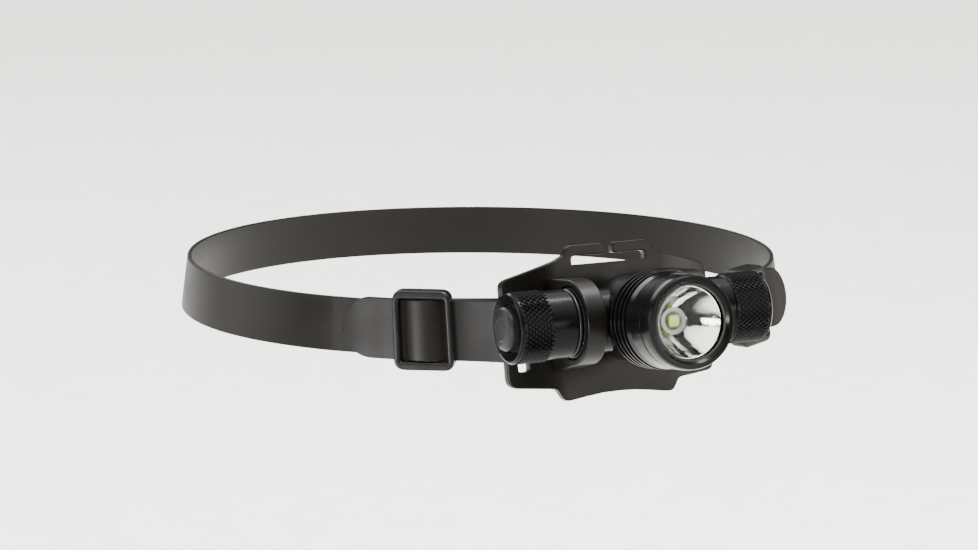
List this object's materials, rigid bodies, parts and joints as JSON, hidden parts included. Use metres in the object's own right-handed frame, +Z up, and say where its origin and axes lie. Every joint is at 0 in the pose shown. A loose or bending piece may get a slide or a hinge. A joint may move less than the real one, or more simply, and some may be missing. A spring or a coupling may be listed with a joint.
{
  "type": "helmet headlamp",
  "caption": "Right-angle helmet light: cross tube with knurled caps and a finned head, held by a slotted bracket plate on a rubber strap with slide buckles.",
  "frame": {"origin": "centre of the strap's loop, at half the strap's height, where the hat's centre line passes", "axes": "+Z up, -Y the way the beam points, +X along the cross tube towards the battery cap (the wearer's left)"},
  "size_m": [0.2182, 0.2807, 0.0524],
  "materials": {
    "anodised": "black hard anodised, satin",
    "bracket_plastic": "moulded black, semi-gloss",
    "buckle_plastic": "moulded black, semi-gloss",
    "black_plastic": "moulded black",
    "strap_rubber": "smooth dark brown-grey rubber",
    "boot_rubber": "smooth dark grey rubber",
    "seal_rubber": "black nitrile rubber",
    "lens_glass": "clear, coated",
    "reflector_mirror": "smooth bright metallised bowl",
    "led_phosphor": "yellow phosphor under clear resin",
    "white_plastic": "grey-white",
    "circuit_board": "green solder mask",
    "copper": "turned copper",
    "steel": "plated",
    "cell_wrap": "shrink wrap, plain",
    "red_insulation": "wire insulation",
    "black_insulation": "wire insulation",
    "nylon": "natural nylon"
  },
  "bodies": {
    "bracket": {"bracket_plate": "bracket_plastic", "left_arm": "bracket_plastic", "right_arm": "bracket_plastic", "arm_screw_1": "steel", "arm_screw_2": "steel", "arm_screw_3": "steel", "arm_screw_4": "steel", "left_tilt_ring": "nylon", "right_tilt_ring": "nylon", "strap": "strap_rubber", "left_buckle": "buckle_plastic", "right_buckle": "buckle_plastic"},
    "light": {"housing": "anodised", "head_barrel": "anodised", "bezel_ring": "anodised", "lens_gasket": "seal_rubber", "lens": "lens_glass", "reflector": "reflector_mirror", "led_emitter": "led_phosphor", "led_centring_ring": "white_plastic", "led_board": "circuit_board", "heat_sink": "copper", "driver_board": "circuit_board", "led_lead_positive": "red_insulation", "led_lead_negative": "black_insulation", "driver_contact": "steel", "feed_strip": "copper", "cell_1": "cell_wrap", "cell_2": "cell_wrap", "left_thread_seal": "seal_rubber", "right_thread_seal": "seal_rubber"},
    "switch_carrier": {"switch_spring": "steel"},
    "switch_end": {"switch_cap": "anodised", "switch_module": "black_plastic", "switch_retainer": "steel", "switch_board": "circuit_board"},
    "button": {"switch_boot": "boot_rubber", "switch_plunger": "white_plastic"},
    "battery_carrier": {"battery_spring": "steel"},
    "battery_end": {"battery_cap": "anodised", "battery_contact": "steel"}
  },
  "joints": [
    {"name": "light_tilt", "type": "hinge", "parent": "bracket", "child": "light", "pos_m": [0, -0.1238, 0.0045], "axis": [-1, 0, 0], "range_deg": [-75, 80]},
    {"name": "switch_cap_travel", "type": "slide", "parent": "light", "child": "switch_carrier", "axis": [-1, 0, 0], "range_m": [0, 0.00505]},
    {"name": "switch_cap_turn", "type": "hinge", "parent": "switch_carrier", "child": "switch_end", "pos_m": [0, -0.1238, 0.0045], "axis": [-1, 0, 0], "range_deg": [0, 1440]},
    {"name": "button_press", "type": "slide", "parent": "switch_end", "child": "button", "axis": [1, 0, 0], "range_m": [0, 0.0015], "stiffness_N_per_m": 1500},
    {"name": "battery_cap_travel", "type": "slide", "parent": "light", "child": "battery_carrier", "axis": [1, 0, 0], "range_m": [0, 0.00505]},
    {"name": "battery_cap_turn", "type": "hinge", "parent": "battery_carrier", "child": "battery_end", "pos_m": [0, -0.1238, 0.0045], "axis": [1, 0, 0], "range_deg": [0, 1440]}
  ],
  "couplings": [
    {"joint": "switch_cap_travel", "follows": "switch_cap_turn", "m_per_rad": 0.00019894},
    {"joint": "battery_cap_travel", "follows": "battery_cap_turn", "m_per_rad": 0.00019894}
  ]
}
